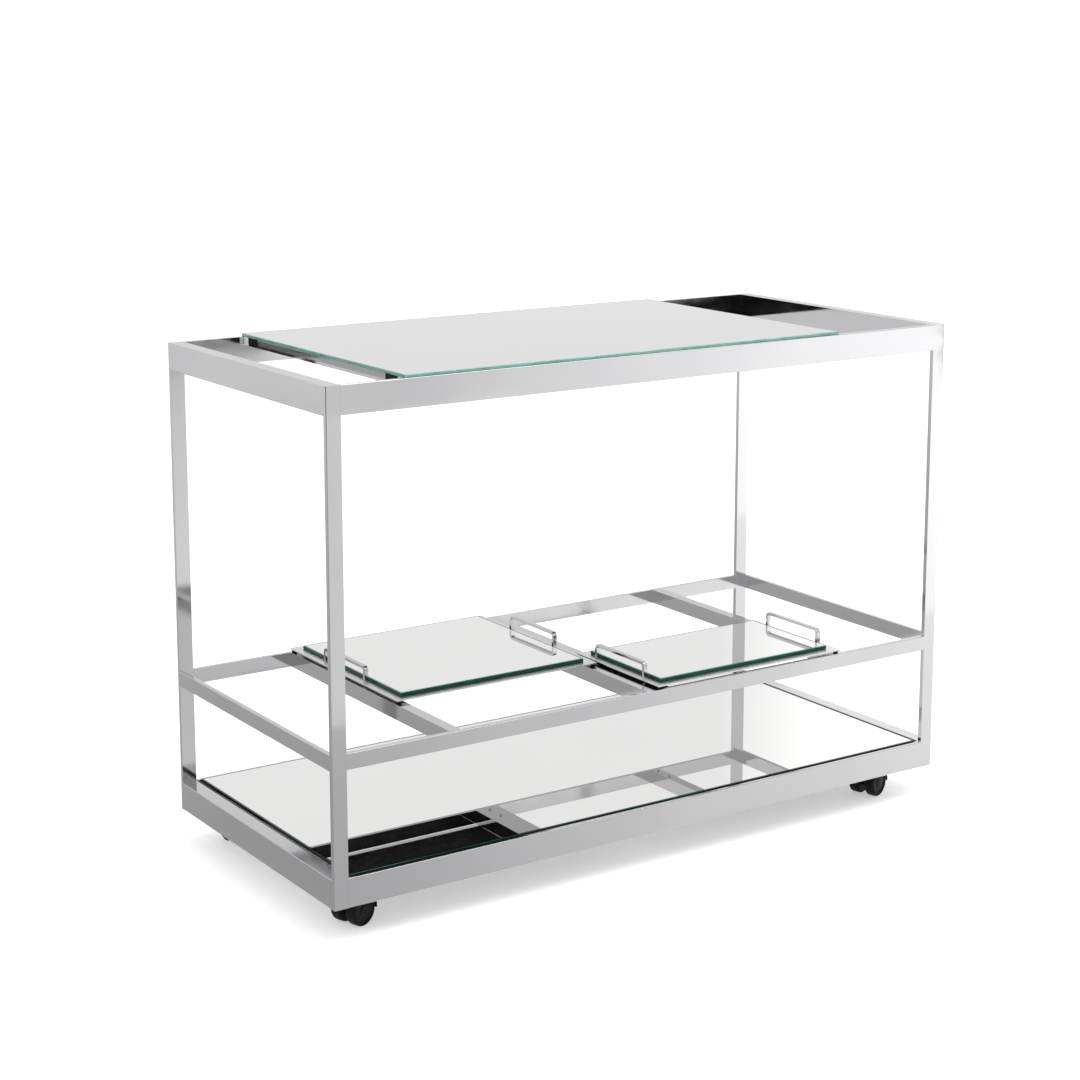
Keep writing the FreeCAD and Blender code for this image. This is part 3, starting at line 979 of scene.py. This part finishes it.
def make_floor(glow):
    """Plain pale floor under the wheels, wide enough to fade into the distance."""
    shape = bmesh.new()
    bmesh.ops.create_grid(shape, x_segments=1, y_segments=1, size=floor_size)
    mesh = bpy.data.meshes.new("floor")
    shape.to_mesh(mesh)
    shape.free()
    finish = new_finish("floor_white", (0.86, 0.86, 0.86), 0.0, 0.7,
                        Emission_Color=(1, 1, 1, 1), Emission_Strength=glow)
    vary_colour(finish, noise(finish, 3), (0.855, 0.855, 0.855), (0.865, 0.865, 0.865))
    mesh.materials.append(finish)
    floor = bpy.data.objects.new("floor", mesh)
    bpy.context.scene.collection.objects.link(floor)
    return floor


def soft_panel(name, place, target, size, power):
    """Square area light that faces a point."""
    light = bpy.data.lights.new(name, "AREA")
    light.shape = "SQUARE"
    light.size = size
    light.energy = power
    panel = bpy.data.objects.new(name, light)
    panel.location = place
    panel.rotation_euler = (Vector(target) - Vector(place)).to_track_quat("-Z", "Y").to_euler()
    bpy.context.scene.collection.objects.link(panel)
    return panel


def pale_world(horizon, above):
    """Pale world, white at the horizon and a little greyer above it."""
    world = bpy.data.worlds.new("studio")
    world.use_nodes = True
    bpy.context.scene.world = world
    tree = world.node_tree
    place = tree.nodes.new("ShaderNodeTexCoord")
    split = tree.nodes.new("ShaderNodeSeparateXYZ")
    spread = tree.nodes.new("ShaderNodeMapRange")
    values = {"From Min": rise_start, "From Max": rise_end, "To Min": horizon, "To Max": above}
    for socket, value in values.items():
        spread.inputs[socket].default_value = value
    background = tree.nodes["Background"]
    background.inputs["Color"].default_value = (1, 1, 1, 1)
    tree.links.new(place.outputs["Generated"], split.inputs["Vector"])
    tree.links.new(split.outputs["Z"], spread.inputs["Value"])
    tree.links.new(spread.outputs["Result"], background.inputs["Strength"])
    return world


make_floor(0.42)
pale_world(1.05, 0.85)
soft_panel("top_panel", (0.5, -0.6, 3.4), (0, 0, 0.3), 2.6, 60)
bpy.context.scene.view_settings.view_transform = "Standard"
print("floor, one panel and a pale world")

# %% [markdown]
# Steel in an even room looks like grey paint. In a studio, grey and black cards stand
# out of the picture, and only the reflections show them. These cards do the same: no
# light falls from them and no view sees them, apart from the polished faces. Grey cards
# lie on the floor to the left and behind. Two more in front brighten to the right, and
# an upright one does the same for the top rail. A white one stands behind on the right,
# for the lower mirrors. A low black curtain stands far off in front, where the inside
# of the top's frame finds it.

# %% Cards that only reflections see
card_lift = 1.5 * mm
curtain_steps = 48
curtain_glow = (0.004, 0.012)


def card(name, corners, along, near, far, low, high):
    """Flat card that glows from one strength to another, measured along a direction."""
    shape = bmesh.new()
    shape.faces.new([shape.verts.new(corner) for corner in corners])
    return add_card(name, shape, along, near, far, low, high)


def add_card(name, shape, along, near, far, low, high):
    """Give a shape a glow that grows along a direction, and hide it from all but gloss."""
    finish = bpy.data.materials.new(name)
    finish.use_nodes = True
    tree = finish.node_tree
    tree.nodes.clear()
    place = tree.nodes.new("ShaderNodeTexCoord")
    measure = tree.nodes.new("ShaderNodeVectorMath")
    measure.operation = "DOT_PRODUCT"
    measure.inputs[1].default_value = along
    spread = tree.nodes.new("ShaderNodeMapRange")
    values = {"From Min": near, "From Max": far, "To Min": low, "To Max": high}
    for socket, value in values.items():
        spread.inputs[socket].default_value = value
    glow = tree.nodes.new("ShaderNodeEmission")
    result = tree.nodes.new("ShaderNodeOutputMaterial")
    tree.links.new(place.outputs["Object"], measure.inputs[0])
    tree.links.new(measure.outputs["Value"], spread.inputs["Value"])
    tree.links.new(spread.outputs["Result"], glow.inputs["Strength"])
    tree.links.new(glow.outputs["Emission"], result.inputs["Surface"])
    mesh = bpy.data.meshes.new(name)
    shape.to_mesh(mesh)
    shape.free()
    mesh.materials.append(finish)
    sheet = bpy.data.objects.new(name, mesh)
    sheet.visible_camera = False
    sheet.visible_diffuse = False
    sheet.visible_transmission = False
    sheet.visible_shadow = False
    bpy.context.scene.collection.objects.link(sheet)
    return sheet


def floor_card(name, x, y, *glow):
    """Card that lies just above the floor, between two x and two y."""
    corners = [(x[0], y[0]), (x[1], y[0]), (x[1], y[1]), (x[0], y[1])]
    return card(name, [(cx, cy, card_lift) for cx, cy in corners], *glow)


def upright_card(name, outline, y, *glow):
    """Card that stands across the cart's depth, from its outline in x and z."""
    return card(name, [(x, y, z) for x, z in outline], *glow)


def dark_curtain(middle, radius, height, turn):
    """Low curved curtain in front of the cart, to one turn on each side of its middle."""
    shape = bmesh.new()
    half = curtain_steps // 2
    turns = [math.radians(turn * k / half) for k in range(-half, half + 1)]
    plan = [(middle + radius * math.sin(a), -radius * math.cos(a)) for a in turns]
    rows = [[shape.verts.new((x, y, z)) for x, y in plan] for z in (0, height)]
    for k in range(curtain_steps):
        shape.faces.new((rows[0][k + 1], rows[0][k], rows[1][k], rows[1][k + 1]))
    return add_card("dark_curtain", shape, (0, 0, 1), 0, height, *curtain_glow)


# Each glow is a direction, where along it the change starts and ends, and the strength
# at both.
left_glow = ((0, 1, 0), 0.3, 4.5, 0.48, 0.88)
front_glow = ((0.36, 0.2, 0), -0.70, 0.60, 0.53, 1.83)
near_glow = ((0.5, 0.2, 0), -0.40, 0.80, 0.60, 1.50)
rail_glow = ((1, 0, 0), -0.1, 1.25, 0.86, 1.62)
wall_glow = ((1, 0, 0), 4.3, 4.95, 0.85, 1.12)
rail_low_side = [(-0.3, 0.664), (0.2, 0.664), (0.2, 0.55), (1.32, 0.55)]
rail_high_side = [(1.32, 0.80), (-0.3, 0.80)]
wall_outline = [(4.3, 1.9), (9.0, 1.9), (9.0, 6.0), (4.3, 6.0)]
floor_card("left_card", (-6, -0.63), (-4, 7), *left_glow)
floor_card("back_card", (-0.63, 5), (0.29, 7), *left_glow)
floor_card("front_card", (-1.2, 6), (-5.6, -1.2), *front_glow)
floor_card("near_card", (-3, 6), (-1.2, -0.29), *near_glow)
upright_card("rail_card", rail_low_side + rail_high_side, -1.0, *rail_glow)
upright_card("wall_card", wall_outline, 5.0, *wall_glow)
dark_curtain(0.88, 5.04, 0.9, 75)
print("six cards and a curtain round the cart")

# %% [markdown]
# The camera stands to the left of the front, a little above the top, and looks slightly
# down, with a long lens so that the verticals stay nearly upright.

# %% Camera
camera_place = Vector((-2.122, -3.093, 1.373))
camera_turn = math.radians(-33.81)
camera_tilt = math.radians(90 - 10.4)
camera_data = bpy.data.cameras.new("camera")
camera_data.lens = 74.56
camera_data.sensor_width = 36.0
camera_data.shift_x = -0.0026
camera_data.shift_y = -0.1
camera = bpy.data.objects.new("camera", camera_data)
camera.location = camera_place
camera.rotation_euler = (camera_tilt, 0, camera_turn)
bpy.context.scene.collection.objects.link(camera)
bpy.context.scene.camera = camera
print("camera", [round(v, 3) for v in camera_place], "lens", camera_data.lens)

# %% Bring the scene up to date
bpy.context.view_layer.update()
